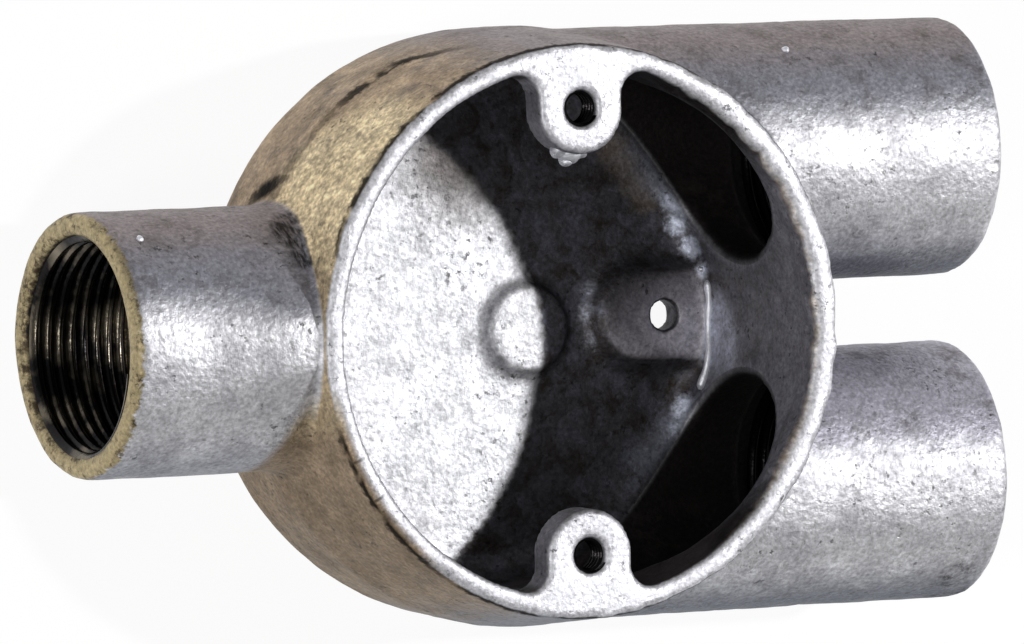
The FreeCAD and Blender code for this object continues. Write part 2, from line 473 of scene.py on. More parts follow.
def crown_rise(points, look):
    """Rise of the single hub's crown towards the rim: most at the middle of its root, and fading out
    along the hub, to its sides and up the bowl's wall."""
    x, y, z = points.T
    from_axis = np.hypot(y, z - HUB_AXIS_HEIGHT)
    room = (RIM_HEIGHT - z) / (RIM_HEIGHT - HUB_AXIS_HEIGHT - HUB_RADIUS)
    share = np.clip(room, 0, 1) * soft_step(np.abs(y), 10 * MM, 2 * MM)
    share = share * soft_step(x, -46 * MM, -33.2 * MM) * soft_step(np.hypot(x, y), 31 * MM, 32.2 * MM)
    return look.crown_rise * share * soft_step(from_axis, 14 * MM, 14.9 * MM) * (x < 0)


def cast_relief(points, normals, look):
    """Height of the cast surface over the smooth solid: slow swells and orange-peel lumps of two sizes,
    little of both on the ground rim and in the bores, a ragged outer edge on the rim, a lip inside it and
    a faint groove round the twin hubs."""
    x, y, z = points.T
    radial = np.hypot(x, y)
    from_axis = hub_distance(points)

    near_rim = soft_step(z, RIM_HEIGHT - 0.8 * MM, RIM_HEIGHT - 0.2 * MM)
    rim_face = soft_step(normals[:, 2], 0.8, 0.97) * near_rim
    bore = soft_step(from_axis, 13.4 * MM, 12.6 * MM) * soft_step(radial, 31 * MM, 32 * MM)
    swell = lattice_noise(points, look.swell_size, 1) + 0.5 * lattice_noise(points, look.swell_size / 2, 2)
    peel = lattice_noise(points, look.peel_size, 3) + 0.6 * lattice_noise(points, look.peel_size * 0.62, 4)
    rough = (1 - 0.7 * rim_face) * (1 - 0.9 * bore)
    relief = rough * (look.swell_depth * swell * 0.6 + look.peel_depth * peel)

    ragged = lattice_noise(points, 2.1 * MM, 5) + 0.7 * lattice_noise(points, 1.0 * MM, 6)
    rim_edge = soft_step(radial, 31.6 * MM, 32.3 * MM) * soft_step(z, RIM_HEIGHT - 1.6 * MM, RIM_HEIGHT)
    rim_edge = rim_edge * soft_step(radial, 33.4 * MM, 32.9 * MM)

    groove = np.exp(-(((x - 35.8 * MM) / (0.5 * MM)) ** 2)) * soft_step(from_axis, 13.5 * MM, 14 * MM)
    groove = groove * (1 + lattice_noise(points, 3.0 * MM, 7))

    bearing = np.degrees(np.arctan2(y, x))
    lip = soft_step(radial, 31.0 * MM, 30.6 * MM) * soft_step(radial, 28.5 * MM, 29.8 * MM)
    lip = lip * soft_step(bearing, 74, 62) * soft_step(bearing, -60, -40)
    lip = lip * soft_step(z, RIM_HEIGHT, RIM_HEIGHT - 0.8 * MM) * soft_step(z, 28.5 * MM, 32 * MM)
    lip = look.lip * lip * (1 + 0.5 * ragged)
    return relief + lip + 0.16 * MM * rim_edge * (ragged - 0.5) - 0.05 * MM * groove


def fine_copy(mesh, kind, **values):
    """Mesh that a modifier makes of another mesh, which it uses up."""
    holder = bpy.data.objects.new("holder", mesh)
    bpy.context.scene.collection.objects.link(holder)
    modifier = holder.modifiers.new(kind.lower(), kind)
    for name, value in values.items():
        setattr(modifier, name, value)
    made = bpy.data.meshes.new_from_object(holder.evaluated_get(bpy.context.evaluated_depsgraph_get()))
    bpy.data.objects.remove(holder)
    bpy.data.meshes.remove(mesh)
    return made


def cast_mesh(look):
    """Even fine copy of the casting's mesh with rounded corners in the well, reshaped at the single hub,
    raised along its normals by the cast relief and then thinned out where it is flat."""
    joined = bmesh.new()
    joined.from_mesh(frame["nodes"][CASTING].data)
    bmesh.ops.remove_doubles(joined, verts=joined.verts, dist=MERGE_DISTANCE)
    solid = bpy.data.meshes.new("cast_solid")
    joined.to_mesh(solid)
    joined.free()
    mesh = fine_copy(solid, "REMESH", mode="VOXEL", voxel_size=look.mesh_size)
    if not mesh.vertices:
        raise RuntimeError("the casting's mesh gave no skin")
    edges = np.empty(len(mesh.edges) * 2, np.int32)
    mesh.edges.foreach_get("vertices", edges)
    points = vertex_array(mesh, mesh.vertices, "co")
    points = rounded(points, edges.reshape(-1, 2), well_softness(points), look.rounding)
    points += sharp_root(points, look)
    points[:, 2] += crown_rise(points, look)
    points[:, 0] += mouth_lean(points, look)
    mesh.vertices.foreach_set("co", points.astype(np.float32).ravel())
    mesh.update()
    normals = vertex_array(mesh, mesh.vertex_normals, "vector")
    points += normals * cast_relief(points, normals, look)[:, None]
    points = np.clip(points, np.array(LOW_CORNER), np.array(HIGH_CORNER))
    mesh.vertices.foreach_set("co", points.astype(np.float32).ravel())
    triangles = sum(len(face.vertices) - 2 for face in mesh.polygons)
    mesh = fine_copy(mesh, "DECIMATE", ratio=min(1.0, look.triangles / triangles))
    mesh.shade_smooth()
    return mesh


def bead_mesh(name, place, normal, radius, seed):
    """Uneven ball of zinc: radius times (1 + noise) over the sphere's two angles, sunk by a share of the
    radius."""
    points, rows, pole = 24, 14, 0.06
    around = np.linspace(0, 2 * np.pi, points, endpoint=False)
    turn, tilt = np.meshgrid(around, np.linspace(pole, np.pi - pole, rows))
    ball = np.stack([np.sin(tilt) * np.cos(turn), np.sin(tilt) * np.sin(turn), np.cos(tilt)], axis=-1)
    uneven = 1 + 0.18 * lattice_noise(ball.reshape(-1, 3), 0.8, seed).reshape(tilt.shape)
    rings = np.array(place) + radius * uneven[:, :, None] * ball
    return outward(swept_mesh(name, rings - BEAD_SINK * radius * np.array(normal)))


def highlit_fillet_mesh(name):
    """Bright cord along the foot of the well's wall, over the boss, that stands for a rounded fillet with a
    painted highlight:
    a circle of slowly changing radius carried along the arc (reach cos a, reach sin a, height), round at both
    ends."""
    reach, height, thickness = 30.2 * MM, 7.5 * MM, 0.45 * MM
    start, end, steps = 7.5, -17.2, 80
    a = np.radians(np.linspace(start, end, steps))
    arc = np.stack([reach * np.cos(a), reach * np.sin(a), np.full_like(a, height)], axis=1)
    to_end = np.clip(np.minimum(np.linspace(0, 20, steps), np.linspace(20, 0, steps)), 0.1, 1)
    ends = np.sqrt(1 - (1 - to_end) ** 2)
    uneven = thickness * ends * (1 + 0.45 * lattice_noise(arc, 2.0 * MM, 9))
    arc[:, 2] += 0.45 * MM * lattice_noise(arc, 3.6 * MM, 10)
    v = np.linspace(0, 2 * np.pi, 14, endpoint=False)
    outwards = arc / reach * [1, 1, 0]
    circle = np.cos(v)[None, :, None] * outwards[:, None, :]
    circle = circle + np.sin(v)[None, :, None] * np.array([0.0, 0.0, 1.0])
    return outward(swept_mesh(name, arc[:, None, :] + uneven[:, None, None] * circle))


def spot_row(start, end, reach, count):
    """Overlapping spots along a line, widest and darkest in its middle: place, reach and strength of
    each."""
    shares = np.linspace(0.0, 1.0, count)
    places = np.outer(1 - shares, start) + np.outer(shares, end)
    grown = np.sin(np.pi * shares) ** 0.7
    return zip(places.tolist(), (reach * (0.55 + 0.45 * grown)).tolist(), (0.35 + 0.65 * grown).tolist())


def surface(add):
    """Object coordinates in mm, and the way the surface faces."""
    place = add("TexCoord").node.outputs
    return add("VectorMath", place["Object"], 1 / MM, operation="SCALE"), place["Normal"]


def pushed(add, mm, size, reach, roughness=0.65):
    """Coordinates in mm pushed about by noise of one size, up to half the reach each way, for ragged
    edges."""
    push = add("TexNoise", mm, 1 / size, 5, roughness).node.outputs["Color"]
    moved = add("VectorMath", push, [reach] * 3, mm, operation="MULTIPLY_ADD")
    return add("VectorMath", moved, [reach / 2] * 3, **MINUS)


def spots(add, vector, places, core):
    """Mask of round spots: full strength within a share of each one's reach, fading to none at the
    reach."""
    mask = 0.0
    for place, reach, strength in places:
        near = add("VectorMath", vector, place, **REACH)
        near = add("MapRange", near, reach, core * reach, 0, strength, **SOFT)
        mask = add("Math", near, mask, **MOST)
    return mask


def put_metal(add, colour, metallic, roughness, height, depth):
    """Metal shader with a bump of a depth, as what the material puts out."""
    bump = add("Bump", 1, depth, None, height)
    add("OutputMaterial", add("BsdfPrincipled", colour, metallic, roughness, None, None, bump))


def zones(add):
    """Coordinates, distances, masks and patterns, in mm, that the layers of the casting's colour share."""
    here = SimpleNamespace()
    here.mm, normal = surface(add)
    here.at = add("SeparateXYZ", here.mm).node.outputs
    here.facing = add("SeparateXYZ", normal).node.outputs

    # Coordinates for zones and for small stains with ragged edges
    here.ragged = pushed(add, here.mm, 3.0, 5.0)
    here.frayed = pushed(add, here.mm, 1.0, 2.2)
    here.frayed_at = add("SeparateXYZ", here.frayed).node.outputs
    here.wavy = pushed(add, here.mm, 2.5, 1.6, 0.4)

    # Distances from the mouth's axis, from the middle plane and from the axis of the hub on that side
    flat = add("VectorMath", here.mm, (1, 1, 0), **TIMES)
    here.radial = add("VectorMath", flat, operation="LENGTH")
    here.beside = add("Math", here.at[1], **MAGNITUDE)
    twin = add("MapRange", here.at[0], -1, 1, 0, TWIN_Y / MM)
    sideways = add("Math", here.beside, twin, **MINUS)
    lifted = add("Math", here.at[2], HUB_AXIS_HEIGHT / MM, **MINUS)
    spoke = add("CombineXYZ", 0, sideways, lifted)
    here.from_axis = add("VectorMath", spoke, operation="LENGTH")

    # Bowl's inside, bores, outside, single-hub side, far sides, all but the single hub's crown, and lugs
    here.within = add("MapRange", here.radial, 31, 30.2, **SOFT)
    under_rim = add("MapRange", here.at[2], 33.9, 33, **SOFT)
    well = add("Math", here.within, under_rim, **TIMES)
    in_bore = add("MapRange", here.from_axis, 13.2, 13, **SOFT)
    past_bowl = add("MapRange", here.radial, 29.5, 31, **SOFT)
    here.bore = add("Math", in_bore, past_bowl, **TIMES)
    here.inside = add("Math", well, here.bore, **MOST)
    here.outside = add("MapRange", here.radial, 31.4, 32.4, **SOFT)
    here.single = add("MapRange", here.at[0], -18, -22)
    here.upper = add("MapRange", here.facing[1], 0.12, 0.5, **SOFT)
    here.off_crown = add("MapRange", here.beside, 8, 12, **SOFT)
    across = add("Math", here.at[0], **MAGNITUDE)
    across = add("MapRange", across, 6.8, 6)
    raised = add("MapRange", here.at[2], 29.4, 30)
    here.on_lug = add("Math", across, raised, **TIMES)

    # Grain of the zinc about 0.8 mm wide, clouds of 5 mm, mottling of 3 mm, and gaps in the dirt of 4.5 mm
    here.peel = add("TexNoise", here.mm, 1 / 0.8, 3, 0.55)
    cloud = add("TexNoise", here.mm, 1 / 5.0, 6, 0.68)
    here.cloud = add("MapRange", cloud, 0.38, 0.62)
    mottle = add("TexNoise", here.ragged, 1 / 3.0, 5, 0.7)
    here.mottle = add("MapRange", mottle, 0.36, 0.64)
    here.weathered = add("MapRange", here.mottle, 0, 1, 0.75, 1.2)
    broken = add("TexNoise", here.mm, 1 / 4.5, 3)
    here.broken = add("MapRange", broken, 0.32, 0.44)
    return here


def zinc_colour(add, here, look):
    """Cloudy zinc of the outside, with painted reflection and shade: blue-grey and then grey-brown round the
    far sides, paler between the twin hubs as a painted reflection, paler on the ground rim, greyer at the
    lugs' tips as painted shade, and dark blue-grey low on the near sides as painted shade."""
    at, facing = here.at, here.facing
    far_side = add("MapRange", facing[1], 0.55, 0.9, **SOFT)
    valley = add("MapRange", at[1], 1, -3, 0, 0.85, **SOFT)
    past_wall = add("MapRange", at[0], 28, 32, **SOFT)
    for share in (past_wall, here.upper):
        valley = add("Math", valley, share, **TIMES)
    ground = add("MapRange", at[2], 33.4, 33.8, **SOFT)
    by_tip = add("MapRange", here.beside, 24, 20.6, 0, 0.75, **SOFT)
    for share in (here.on_lug, here.cloud):
        by_tip = add("Math", by_tip, share, **TIMES)
    near_side = add("MapRange", facing[1], -0.58, -0.97, **SOFT)
    on_twin = add("MapRange", at[0], -30, 0, 0.7)
    near_side = add("Math", near_side, on_twin, **TIMES)
    # Painted light by the way the surface faces: slate and brown are painted shade and reflection on the far
    # sides, valley a painted reflection where the lower twin hub faces the upper, wall grey painted shade on
    # the lugs' tips, under painted shade low on the near sides
    layers = (
        (here.upper, look.slate),
        (far_side, look.brown),
        (valley, look.valley),
        (ground, look.ground),
        (by_tip, look.wall),
        (near_side, look.under),
    )
    colour = add("Mix", here.cloud, linear(look.zinc_grey), linear(look.zinc_pale), **RGBA)
    for mask, code in layers:
        colour = add("Mix", mask, colour, linear(code), **RGBA)
    return colour


def gold_reflection_colour(add, here, look):
    """Painted reflection of a golden surface where the bowl faces the single-hub side: tan, gold in parts as
    a painted highlight and brown in parts as painted shade; returns its mask, the mask less the hub's root
    below, and its colour."""
    at = here.at
    bowl = add("MapRange", here.facing[0], -0.12, -0.5, **SOFT)
    under_face = add("MapRange", at[2], 33.75, 33.3, **SOFT)
    crown = add("MapRange", here.beside, 10, 2, 0, look.crown_rise / MM, **SOFT)
    off_hub = add("Math", here.from_axis, crown, **MINUS)
    off_hub = add("MapRange", off_hub, 15.3, 15.8, **SOFT)
    for share in (here.outside, under_face, off_hub):
        bowl = add("Math", bowl, share, **TIMES)
    crease = add("Math", off_hub, bowl, **TIMES)
    root_reach = add("MapRange", at[1], -5, -15, 33, 39)
    root = add("Math", here.radial, root_reach, **MINUS)
    root = add("MapRange", root, 1, -1, **SOFT)
    below = add("MapRange", at[1], -5, -9)
    for share in (here.single, below, here.outside):
        root = add("Math", root, share, **TIMES)
    mask = add("Math", bowl, root, **MOST)

    # Tan to umber in clouds, all painted reflection of a golden surface; sepia on the sides facing -Y is
    # painted shade
    tint = add("MapRange", here.cloud, -0.25, 1.25)
    tan = add("Mix", tint, linear(look.umber), linear(look.tan), **RGBA)
    shaded = add("MapRange", here.facing[1], 0, -0.7, 0, 0.8, **SOFT)
    tan = add("Mix", shaded, tan, linear(look.sepia), **RGBA)
    # Gold as a painted highlight round one spot and in a strip by the single hub's crown, with painted
    # sparkle from the grain
    gold_highlight = add("VectorMath", here.ragged, (-28, 18, 29), **REACH)
    gold_highlight = add("MapRange", gold_highlight, 15, 9, **SOFT)
    strip = add("MapRange", here.off_crown, 1, 0, 0, 0.55)
    gold_highlight = add("Math", gold_highlight, strip, **MOST)
    painted_sparkle = add("MapRange", here.peel, 0.36, 0.68, 0.75, 1.4)
    gold = add("Mix", 1, linear(look.gold), painted_sparkle, blend_type="MULTIPLY", **RGBA)
    tan = add("Mix", gold_highlight, tan, gold, **RGBA)
    tan = add("Mix", 1, tan, here.weathered, blend_type="MULTIPLY", **RGBA)
    return mask, crease, tan


def hollow_colour(add, here, look):
    """Bowl's inside with painted light and shade: bright floor on the single-hub side inside a painted
    shadow, the rest dark as painted shade and greyer up the wall as painted light, with painted highlights in
    patches, a brown streak of painted warm light, a top on the boss with painted shade and bores dark with
    painted shade."""
    at = here.at

    # Floor and wall: the wall dark as painted shade, greyer up the wall as painted light and darkest beside
    # the lugs as painted shade, and painted shade at the lit floor's top end
    up_wall = add("MapRange", at[2], 12, 33, **SOFT)
    by_lugs = add("MapRange", here.beside, 15, 23, **SOFT)
    high = add("MapRange", at[2], 18, 24, **SOFT)
    off_lug = add("Math", here.on_lug, -0.8, 1, operation="MULTIPLY_ADD")
    for share in (high, off_lug):
        by_lugs = add("Math", by_lugs, share, **TIMES)
    wall = add("Mix", here.mottle, linear(look.well), linear(look.well_blue), **RGBA)
    wall = add("Mix", up_wall, wall, linear(look.wall), **RGBA)
    wall = add("Mix", by_lugs, wall, linear(look.bore), **RGBA)
    # Painted shade where the lit floor fades towards its top end
    floor_top_shade = add("VectorMath", here.ragged, (0.0, 20.0, 5.0), **REACH)
    floor_top_shade = add("MapRange", floor_top_shade, 13, 3, 0, 0.9, **SOFT)
    bright = add("Mix", here.cloud, linear(look.zinc_pale), linear(look.ground), **RGBA)
    bright = add("Mix", floor_top_shade, bright, linear(look.soot_and_shade), **RGBA)
    # Painted shadow: darker outside a circle that follows the rim's shadow on the floor
    shadow_circle = add("VectorMath", here.frayed, (-20.6, -3.5, 3.8), **REACH)
    shadow_circle = add("MapRange", shadow_circle, 29.3, 30.4, **SOFT)

    # Painted sheen along the twin bores' mouths, and painted shade deep in the twin bores
    ridge = add("MapRange", here.from_axis, 14.2, 12.2, **SOFT)
    sheen_reach = add("MapRange", at[0], 16, 30, **SOFT)
    ridge = add("Math", ridge, sheen_reach, **TIMES)
    in_twin = add("MapRange", here.from_axis, 12, 11.2, **SOFT)
    bore = add("Math", here.bore, in_twin, **MOST)

    # Boss, lighter to one corner and darker to the other as painted shade
    on_boss = add("MapRange", at[2], 5.4, 6.4, **SOFT)
    flat_top = add("MapRange", here.facing[2], 0.75, 0.95, **SOFT)
    twin_side = add("MapRange", at[0], 13, 15)
    for share in (flat_top, twin_side):
        on_boss = add("Math", on_boss, share, **TIMES)
    slant = add("VectorMath", here.mm, (0.5, -0.6, 0.0), operation="DOT_PRODUCT")
    slant = add("MapRange", slant, 7.5, 13.5, 0.3, 1.8)
    boss = add("Mix", 1, linear(look.boss), slant, blend_type="MULTIPLY", **RGBA)

    # Layers over the floor: painted shadow, a streak of painted warm light, painted highlights, painted sheen
    # on the bores' mouths, and the boss's top with painted shade
    layers = (
        (shadow_circle, wall),
        (spots(add, here.frayed, WARM_LIGHT_STREAK, 0.2), linear(look.tan)),
        (spots(add, here.frayed, WELL_HIGHLIGHTS, 0.3), linear(look.well_highlight)),
        (ridge, linear(look.ridge)),
        (on_boss, boss),
    )
    colour = bright
    for mask, layer in layers:
        colour = add("Mix", mask, colour, layer, **RGBA)
    colour = add("Mix", 1, colour, here.weathered, blend_type="MULTIPLY", **RGBA)
    # Bores dark with painted shade
    return add("Mix", bore, colour, linear(look.bore), **RGBA)


def mouth_ring(add, here, look):
    """Single hub's mouth: straw colour that is a painted reflection of a golden surface, with dark pits about
    1 mm wide, a little over its edges too; returns its mask and its colour."""
    low, high = (HUB_AXIS_HEIGHT - HUB_RADIUS) / MM, (HUB_AXIS_HEIGHT + HUB_RADIUS) / MM
    end, leaning_end = LOW_CORNER.x / MM, (LOW_CORNER.x + look.mouth_lean) / MM
    lean = add("MapRange", here.at[2], low, high, end, leaning_end)
    ring = add("Math", here.frayed_at[0], lean, **MINUS)
    ring = add("MapRange", ring, 1, 0.5, **SOFT)
    pits = add("TexNoise", here.mm, 1 / 1.1, 6, 0.75)
    off_middle = add("Math", here.from_axis, 13.85, **MINUS)
    off_middle = add("Math", off_middle, **MAGNITUDE)
    edges = add("MapRange", off_middle, 0.5, 1.5, -0.04, 0.06)
    low_side = add("MapRange", here.at[2], 20, 4, 0, 0.07)
    for share in (edges, low_side):
        pits = add("Math", pits, share, operation="ADD")
    pits = add("MapRange", pits, 0.48, 0.68, **SOFT)
    return ring, add("Mix", pits, linear(look.straw), linear(look.pit), **RGBA)


def stain_and_shade_mask(add, here, crease):
    """Black marks: stains in the roots that are partly painted shadow and shade, hair-like on the single hub
    and crumbled elsewhere, painted shade in the fixing hole, stains along the parting line on the far side
    and in the rim's cracks, and a dark broken line under the rim's outer edge."""
    at = here.at
    stains_and_shade = spots(add, here.wavy, STAINS_AND_SHADE, 0.4)
    root_stain_and_shade = spots(add, here.frayed, spot_row(*ROOT_STAIN_AND_SHADE), 0.3)
    stains_and_shade = add("Math", stains_and_shade, root_stain_and_shade, **MOST)
    drawn = add("VectorMath", here.mm, (3.6, 0.8, 0.8), **TIMES)
    hairs = add("TexNoise", drawn, 1 / 1.1, 4)
    hairs = add("MapRange", hairs, 0.36, 0.6, 0.25, 0.85)
    crumbs = add("TexNoise", here.mm, 1 / 1.3, 6, 0.75)
    crumbs = add("MapRange", crumbs, 0.45, 0.65, 0.1, 0.8)
    hairs = add("Mix", here.single, crumbs, hairs)
    low_down = add("MapRange", at[2], 20, 18)
    hairs = add("Mix", crease, hairs, low_down)
    stains_and_shade = add("Math", stains_and_shade, hairs, **TIMES)

    # Smear along the parting line, thick in its middle and rising to the rim
    line = add("Math", at[0], 0.11, 19.9, operation="MULTIPLY_ADD")
    rise = add("MapRange", at[0], -15.5, -7.5, 0, 6)
    line = add("Math", line, rise, operation="ADD")
    off_line = add("Math", here.frayed_at[2], line, **MINUS)
    off_line = add("Math", off_line, **MAGNITUDE)
    smear = add("MapRange", off_line, 1.3, 0.5, 0, 0.9, **SOFT)
    start = add("MapRange", at[0], -24, -20.5, 0.4, **SOFT)
    finish = add("MapRange", at[0], -7, -15, **SOFT)
    far = add("MapRange", at[1], 14, 16)
    for share in (start, finish, here.broken, far, here.outside):
        smear = add("Math", smear, share, **TIMES)
    marks = [smear]

    on_rim = add("MapRange", at[2], 32.8, 33.3)
    outer_half = add("MapRange", here.radial, 30.9, 31.8)
    for bearing in CRACKS:
        crossways = (math.sin(bearing), -math.cos(bearing), 0.0)
        crack = add("VectorMath", here.mm, crossways, operation="DOT_PRODUCT")
        crack = add("Math", crack, **MAGNITUDE)
        crack = add("MapRange", crack, 0.3, 0.05, 0, 0.6, **SOFT)
        for share in (on_rim, outer_half, here.single):
            crack = add("Math", crack, share, **TIMES)
        marks.append(crack)

    under_edge = add("MapRange", here.frayed_at[2], 32.5, 33.2, **SOFT)
    side_on = add("MapRange", here.facing[2], 0.8, 0.5, 0, 0.9)
    for share in (here.outside, here.off_crown, side_on, here.broken):
        under_edge = add("Math", under_edge, share, **TIMES)
    for mark in marks + [under_edge]:
        stains_and_shade = add("Math", stains_and_shade, mark, **MOST)
    return stains_and_shade


def rim_edge_tan(add, here):
    """Mask of a mottled tan line along the rim's inner edge on the twin-hub side."""
    low = add("MapRange", here.at[2], 32.7, 33.2, **SOFT)
    high = add("MapRange", here.at[2], 33.95, 33.6, 0, 0.6, **SOFT)
    right = add("MapRange", here.at[0], 16, 24)
    # Tan line along the rim's inner edge, mottled
    dirt = here.within
    for share in (low, high, right, here.mottle):
        dirt = add("Math", dirt, share, **TIMES)
    return dirt


def galvanised_iron(look):
    """Hot-dip galvanised malleable iron: bright zinc over a sand-cast surface, so it shows broken highlights
    and fine pits, gold-tan and grey-brown sides that are painted reflection and shade, painted light and
    shadow in the well, and black stains in the corners that are partly painted shade."""
    material, add = new_material("galvanised_malleable_iron")
    here = zones(add)
    colour = zinc_colour(add, here, look)
    gold_reflection, crease, tan = gold_reflection_colour(add, here, look)
    ring, ring_reflection_and_pits = mouth_ring(add, here, look)
    stains_and_shade = stain_and_shade_mask(add, here, crease)
    # Layers: painted reflection on the bowl's side, the well's painted light and shade, the mouth ring's
    # painted reflection with pits, a tan line on the rim's inner edge, and black stains with painted shade
    layers = (
        (gold_reflection, tan),
        (here.inside, hollow_colour(add, here, look)),
        (ring, ring_reflection_and_pits),
        (rim_edge_tan(add, here), linear(look.tan)),
        (stains_and_shade, linear(look.dark_stain_and_shade)),
    )
    for mask, layer in layers:
        colour = add("Mix", mask, colour, layer, **RGBA)

    # Light and dark grit about 0.5 mm wide, smudges of 4 mm on the far sides, and specks under 1 mm in swarms
    grit = add("TexNoise", here.mm, 1 / 0.5, 3, 0.6)
    grit = add("MapRange", grit, 0.3, 0.7, 0.68, 1.25)
    colour = add("Mix", 1, colour, grit, blend_type="MULTIPLY", **RGBA)
    smudge = add("TexNoise", here.ragged, 1 / 4.0, 6, 0.7)
    smudge = add("MapRange", smudge, 0.5, 0.7, 0, 0.65)
    smudge = add("Math", smudge, here.upper, **TIMES)
    colour = add("Mix", smudge, colour, linear(look.soot_and_shade), **RGBA)
    specks = add("TexNoise", here.mm, 1 / 0.9, 3, 0.6)
    specks = add("MapRange", specks, 0.61, 0.68, 0, 0.7)
    swarm = add("TexNoise", here.mm, 1 / 7.0, 3)
    swarm = add("MapRange", swarm, 0.42, 0.62)
    specks = add("Math", specks, swarm, **TIMES)
    colour = add("Mix", specks, colour, linear(look.dark_stain_and_shade), **RGBA)

    # Relief of the grain and the specks, deeper on the outside; stains are dull
    dent = add("Math", specks, -0.35, here.peel, operation="MULTIPLY_ADD")
    depth = add("MapRange", here.outside, 0, 1, 0.11 * MM, 0.16 * MM)
    roughness = add("MapRange", here.cloud, 0, 1, 0.62, 0.53)
    roughness = add("Mix", stains_and_shade, roughness, 0.9)
    put_metal(add, colour, metallic=0.85, roughness=roughness, height=dent, depth=depth)
    return material


def spilt_zinc(look):
    """Zinc that ran and set in the bath, on the beads, and a painted highlight on the bright cord in the
    well: smooth and bright, with faint lumps about 0.6 mm wide.
    """
    material, add = new_material("spilt_zinc")
    mm, _ = surface(add)
    lumps = add("TexNoise", mm, 1 / 0.6, 2)
    put_metal(add, linear(look.spilt_and_highlight), metallic=0.9, roughness=0.55, height=lumps, depth=0.08 * MM)
    return material


def cut_thread_iron(threads):
    """Cut thread in galvanised iron: dark grooves, with a painted glint on faintly yellow crests in patches
    about 6 mm wide on the single hub's side, and a grain about 0.5 mm wide."""
    material, add = new_material("cut_thread_iron")
    mm, _ = surface(add)
    glint_share = add("TexNoise", mm, 1 / 6.0, 4)
    glint_share = add("MapRange", glint_share, 0.5, 0.8)
    at = add("SeparateXYZ", mm).node.outputs
    single = add("MapRange", at[0], -10, -30)
    glint_share = add("Math", glint_share, single, **TIMES)
    colour = add("Mix", glint_share, linear(threads.dark), linear(threads.glint), **RGBA)
    grain = add("TexNoise", mm, 1 / 0.5, 3)
    put_metal(add, colour, metallic=0.9, roughness=0.22, height=grain, depth=0.05 * MM)
    return material


def pale_floor(stage):
    """Matt white board: white to the eye and in reflections, with the object's soft shadow on it."""
    material, add = new_material("matt_white_board")
    path = add("LightPath").node.outputs
    seen = path["Is Camera Ray"]
    for kind in ("Is Glossy Ray", "Is Transmission Ray"):
        seen = add("Math", seen, path[kind], **MOST)
    board = add("BsdfDiffuse", linear(stage.board))
    shade = add("BsdfDiffuse", linear(stage.shade))
    white = add("Emission", linear(stage.white), FLOOR_GLOW)
    shown = add("AddShader", white, shade)
    add("OutputMaterial", add("MixShader", seen, board, shown))
    return material


def lamp(name, place, aim, power, size):
    """Square white area lamp at a place, aimed at a point, out of the camera's sight."""
    light = bpy.data.lights.new(name, "AREA")
    light.energy = power
    light.size = size
    holder = bpy.data.objects.new(name, light)
    holder.location = place
    holder.rotation_euler = (Vector(aim) - Vector(place)).to_track_quat("-Z", "Y").to_euler()
    holder.visible_camera = False
    bpy.context.scene.collection.objects.link(holder)


class CONDUITBOX_OT_cast_skin(bpy.types.Operator):
    """Replaces the casting with its rough cast skin"""

    bl_idname = "conduit_box.cast_skin"
    bl_label = "Cast skin"

    def execute(self, context):
        look, _, _ = settings()
        skin = put_piece("cast_skin", cast_mesh(look), galvanised_iron(look))
        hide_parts(CASTING)
        return {"FINISHED"}


class CONDUITBOX_OT_entry_threads(bpy.types.Operator):
    """Cuts the conduit thread into the three hubs"""

    bl_idname = "conduit_box.entry_threads"
    bl_label = "Entry threads"

    def execute(self, context):
        look, threads, _ = settings()
        if not ENTRIES:
            raise RuntimeError("the frame has no threaded entry")
        material = cut_thread_iron(threads)
        for seed, mount in enumerate(ENTRIES):
            axis = mount["axis"]
            reach = abs(LOW_CORNER.x) if axis[0] < 0 else HIGH_CORNER.x
            span = mount["dims"]["length_mm"] * MM
            radius = mount["dims"]["r_mm"] * MM
            middle = list(mount["pos_m"])
            middle[0] = axis[0] * (reach - span / 2)
            rings = thread_rings(middle, axis, span, radius, threads.entry_pitch, seed)
            rings[:, :, 0] += mouth_lean(rings.reshape(-1, 3), look).reshape(rings.shape[:2])
            put_piece(mount["name"] + "_thread", outward(swept_mesh(mount["name"], rings)), material)
        return {"FINISHED"}


class CONDUITBOX_OT_screw_threads(bpy.types.Operator):
    """Cuts the cover-screw thread into the two lugs"""

    bl_idname = "conduit_box.screw_threads"
    bl_label = "Cover-screw threads"

    def execute(self, context):
        _, threads, _ = settings()
        screws = MOUNTS.get("cover_screws")
        if screws is None:
            raise RuntimeError("the frame has no cover screws")
        material = cut_thread_iron(threads)
        span = threads.lug_thickness - THREAD_END_ROOM
        radius = screws["dims"]["hole_r_mm"] * MM
        height = RIM_HEIGHT - threads.lug_thickness / 2
        for seed, side in enumerate((1, -1), 7):
            middle = [0.0, side * screws["dims"]["spacing_y_mm"] * MM / 2, height]
            rings = thread_rings(middle, (0, 0, 1), span, radius, threads.screw_pitch, seed)
            name = "cover_screw_thread_left" if side > 0 else "cover_screw_thread_right"
            put_piece(name, outward(swept_mesh(name, rings)), material)
        return {"FINISHED"}


class CONDUITBOX_OT_zinc_beads(bpy.types.Operator):
    """Sets zinc beads on the hubs, in the well and under a lug, and a bright cord in the well that carries a
    painted highlight
    """

    bl_idname = "conduit_box.zinc_beads"
    bl_label = "Zinc beads"

    def execute(self, context):
        look, _, _ = settings()
        material = spilt_zinc(look)
        for number, (place, normal, radius) in enumerate(BEADS):
            name = f"zinc_bead_{number + 1}"
            mesh = bead_mesh(name, np.array(place) * MM, normal, radius * MM, number + 20)
            put_piece(name, mesh, material)
        put_piece("zinc_run", highlit_fillet_mesh("zinc_run"), material)
        return {"FINISHED"}


